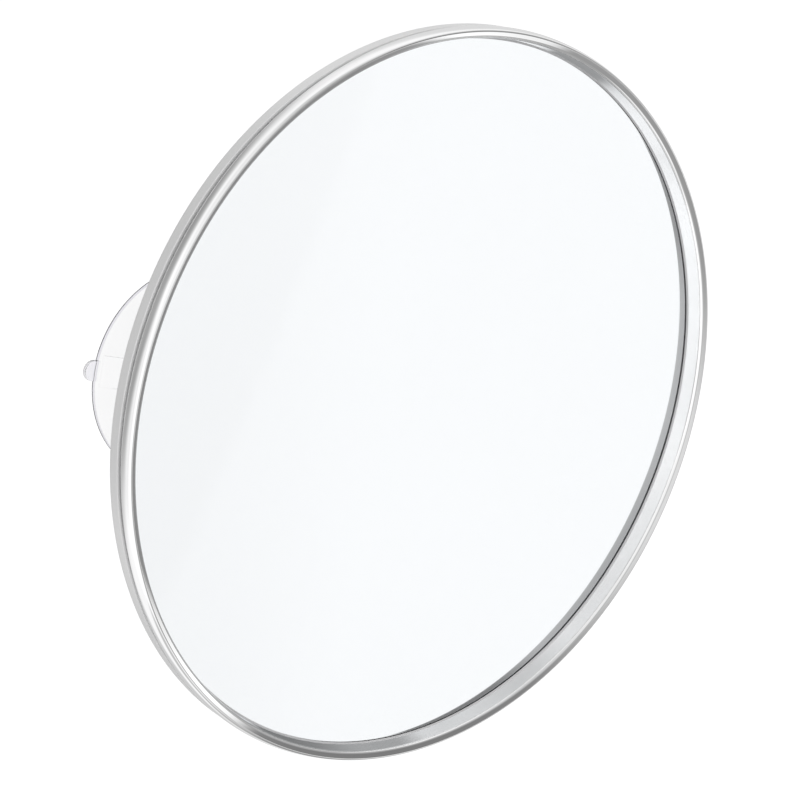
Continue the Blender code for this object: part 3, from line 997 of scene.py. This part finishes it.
class MIRROR_OT_cups(bpy.types.Operator):
    """Three clear suction cups, each with a pull tab and a headed neck"""

    bl_idname = "mirror.cups"
    bl_label = "Suction cups"

    def execute(self, context):
        plan = Plan(context.scene)
        cup = plan.cup
        for body, node, place in cup_places():
            finish = vinyl_finish(context.scene.mirror_colours, cup, place)
            mesh = joined(turned(cup_outline(plan), CUP_SIDES),
                          [("UNION", tab_solid(cup)), ("UNION", root_solid(cup))])
            turn = (Matrix.Translation((place.x, place.y, 0.0))
                    @ Matrix.Rotation(math.atan2(place.y, place.x), 4, "Z"))
            add_piece(f"clear_{node}", mesh, WALL_TURN @ turn, [finish], body, [node])
        return {"FINISHED"}


# Studio

# The camera's own axes and the point it looks at
CAMERA_RIGHT = Vector((0.73560, -0.64193, -0.21637))
CAMERA_UP = Vector((0.48028, 0.26895, 0.83486))
CAMERA_BACK = Vector((-0.47773, -0.71805, 0.50614))
CAMERA_AIM = Vector((-0.00747, -0.02299, 0.00407))

# Where the glass looks into the room, and the grey ring round that place which the chrome
# shows: four angles in degrees between which it comes up and fades out again, and its tone
GLASS_LOOK = (0.479, -0.716, -0.508)
ROOM_RING = (12.0, 20.0, 60.0, 70.0, 0.50)

# Parts of that ring, then parts of the whole room, that are darker or lighter: direction,
# angle in degrees where each fades out and where it is full, and its tone
RING_TONES = (
    ((0.10, -0.74, -0.66), 32.0, 14.0, 0.66),
    ((0.62, -0.78, -0.10), 30.0, 14.0, 0.52),
    ((0.68, -0.22, -0.70), 24.0, 12.0, 0.52),
    ((0.13, -0.98, -0.14), 20.0, 6.0, 1.50),
    ((0.775, -0.45, -0.44), 10.0, 5.5, 3.1),
    ((0.37, -0.53, -0.76), 9.0, 5.0, 2.8),
    ((-0.32, -0.45, -0.83), 18.0, 10.0, 2.0),
)
ROOM_TONES = (
    ((-0.35, 0.88, 0.32), 53.0, 20.0, 0.40),
    ((0.85, -0.52, 0.10), 42.0, 18.0, 0.80),
    ((0.45, -0.45, 0.77), 30.0, 8.0, 0.72),
    ((-0.15, -0.60, 0.79), 50.0, 30.0, 0.87),
    ((-0.62, 0.00, -0.785), 20.0, 10.0, 0.56),
    ((0.77, 0.63, 0.09), 38.0, 12.0, 0.74),
    ((-0.12, 0.05, -0.99), 24.0, 12.0, 0.46),
    ((-0.92, 0.31, 0.24), 33.0, 18.0, 0.82),
    ((-0.93, -0.28, 0.22), 62.0, 42.0, 1.10),
    ((0.03, 0.73, 0.68), 40.0, 1.0, 0.82),
    ((-0.10, 0.75, -0.65), 26.0, 10.0, 0.62),
    ((0.57, -0.58, -0.59), 5.9, 5.1, 0.98),
    ((0.64, -0.60, -0.485), 11.0, 3.0, 0.95),
)

# Lamps: name, place, width and power
LAMPS = (
    ("key_lamp", (-0.9, -1.2, 1.6), 1.2, 9.0),
    ("fill_lamp", (1.4, -0.8, 0.9), 1.2, 4.0),
)


def add_floor(settings):
    """Plain pale floor that shows white and keeps the object's shadow."""
    bm = bmesh.new()
    bmesh.ops.create_circle(bm, cap_ends=True, radius=settings.floor_radius,
                              segments=FLOOR_SIDES)
    mesh = bpy.data.meshes.new("studio_floor")
    bm.to_mesh(mesh)
    bm.free()
    floor = bpy.data.objects.new("studio_floor", mesh)
    floor.location = (0.0, 0.0, -settings.floor_drop)
    floor.visible_glossy = False
    floor.visible_transmission = False
    bpy.context.scene.collection.objects.link(floor)
    finish = Finish("pale_floor")
    path = finish.node("ShaderNodeLightPath").outputs
    lift = finish.math("MULTIPLY", path["Is Camera Ray"], settings.floor_lift)
    finish.set(Base_Color=settings.floor_tone, Roughness=0.9, Specular_IOR_Level=0.0,
               Emission_Color=(1.0, 1.0, 1.0), Emission_Strength=lift)
    mesh.materials.append(finish.material)


class Room(NodeTree):
    """The world's nodes: a white room with soft grey parts."""

    def __init__(self):
        self.world = bpy.data.worlds.new("studio_room")
        super().__init__(self.world, "Generated")

    def toward(self, direction):
        """Cosine of the angle between a look and a direction."""
        aim = Vector(direction).normalized()
        return self.vector_math("DOT_PRODUCT", self.place, aim)["Value"]

    def fade(self, cosine, start, end, first, last):
        """Soft step from the first tone to the last between two angles in degrees."""
        low, high = sorted(((math.cos(math.radians(start)), first),
                            (math.cos(math.radians(end)), last)))
        made = self.node("ShaderNodeMapRange", {"interpolation_type": "SMOOTHSTEP"},
                         Value=cosine, From_Min=low[0], From_Max=high[0], To_Min=low[1],
                         To_Max=high[1])
        return made.outputs["Result"]

    def patches(self, total, tones):
        """Multiply a tone by soft patches."""
        for direction, fade, full, tone in tones:
            patch = self.fade(self.toward(direction), fade, full, 1.0, tone)
            total = self.math("MULTIPLY", total, patch)
        return total


def add_room(settings):
    """White room: only reflections see its grey parts, and diffuse light is even."""
    room = Room()
    bpy.context.scene.world = room.world
    near, full, far, out, tone = ROOM_RING
    look = room.toward(GLASS_LOOK)
    ring = room.math("MULTIPLY", room.fade(look, near, full, 0.0, 1.0),
                     room.fade(look, far, out, 1.0, 0.0))
    grey = room.math("SUBTRACT", 1.0, room.patches(tone, RING_TONES))
    total = room.math("SUBTRACT", 1.0, room.math("MULTIPLY", ring, grey))
    total = room.patches(total, ROOM_TONES)
    path = room.node("ShaderNodeLightPath").outputs
    mirrored = room.math("GREATER_THAN", path["Glossy Depth"], 0.5)
    shown = room.mix("FLOAT", mirrored, 1.0, total)
    strength = room.mix("FLOAT", path["Is Diffuse Ray"], shown, settings.room_level)
    background = room.tree.nodes["Background"].inputs
    room.plug(background["Color"], (1.0, 1.0, 1.0))
    room.plug(background["Strength"], strength)


def add_lamp(name, place, size, power):
    """Round soft lamp that looks at the mirror and shows in no reflection."""
    light = bpy.data.lights.new(name, "AREA")
    light.shape = "DISK"
    light.size = size
    light.energy = power
    lamp = bpy.data.objects.new(name, light)
    lamp.location = place
    lamp.rotation_euler = (-Vector(place)).to_track_quat("-Z", "Y").to_euler()
    lamp.visible_glossy = False
    lamp.visible_transmission = False
    bpy.context.scene.collection.objects.link(lamp)


def add_camera(settings):
    """Camera at the angle of the photo."""
    data = bpy.data.cameras.new("photo_view")
    data.lens = settings.camera_lens
    data.sensor_width = settings.camera_sensor
    data.clip_start = settings.camera_near
    camera = bpy.data.objects.new("photo_view", data)
    rows = zip(CAMERA_RIGHT, CAMERA_UP, CAMERA_BACK)
    turn = Matrix([tuple(row) for row in rows]).to_4x4()
    place = CAMERA_AIM + CAMERA_BACK * settings.camera_distance
    camera.matrix_world = Matrix.Translation(place) @ turn
    bpy.context.scene.collection.objects.link(camera)
    bpy.context.scene.camera = camera


class MIRROR_OT_studio(bpy.types.Operator):
    """Pale floor, soft lamps, white room and the camera"""

    bl_idname = "mirror.studio"
    bl_label = "Studio"

    def execute(self, context):
        settings = context.scene.studio_settings
        add_floor(settings)
        add_room(settings)
        for lamp in LAMPS:
            add_lamp(*lamp)
        add_camera(settings)
        context.scene.view_settings.view_transform = "Standard"
        return {"FINISHED"}


class MIRROR_PT_panel(bpy.types.Panel):
    """Lists the steps that build the mirror"""

    bl_idname = "MIRROR_PT_panel"
    bl_label = "Suction mirror"
    bl_space_type = "VIEW_3D"
    bl_region_type = "UI"
    bl_category = "Mirror"

    def draw(self, context):
        for step in STEPS:
            self.layout.operator(step.bl_idname)


STEPS = (MIRROR_OT_studio, MIRROR_OT_shell, MIRROR_OT_bezel, MIRROR_OT_glass,
         MIRROR_OT_silvering, MIRROR_OT_foam, MIRROR_OT_cups)
GROUPS = {"mirror_sizes": MirrorSizes, "cup_sizes": CupSizes, "mirror_colours": MirrorColours,
          "studio_settings": StudioSettings}


def register():
    """Make the groups, the steps and the panel known."""
    for item in (*GROUPS.values(), *STEPS, MIRROR_PT_panel):
        bpy.utils.register_class(item)
    for name, group in GROUPS.items():
        setattr(bpy.types.Scene, name, PointerProperty(type=group))


def unregister():
    """Take them out again."""
    for name in GROUPS:
        delattr(bpy.types.Scene, name)
    for item in reversed((*GROUPS.values(), *STEPS, MIRROR_PT_panel)):
        bpy.utils.unregister_class(item)


def main():
    """Build everything in order."""
    register()
    for step in STEPS:
        group, name = step.bl_idname.split(".")
        getattr(getattr(bpy.ops, group), name)()


if __name__ == "__main__":
    main()
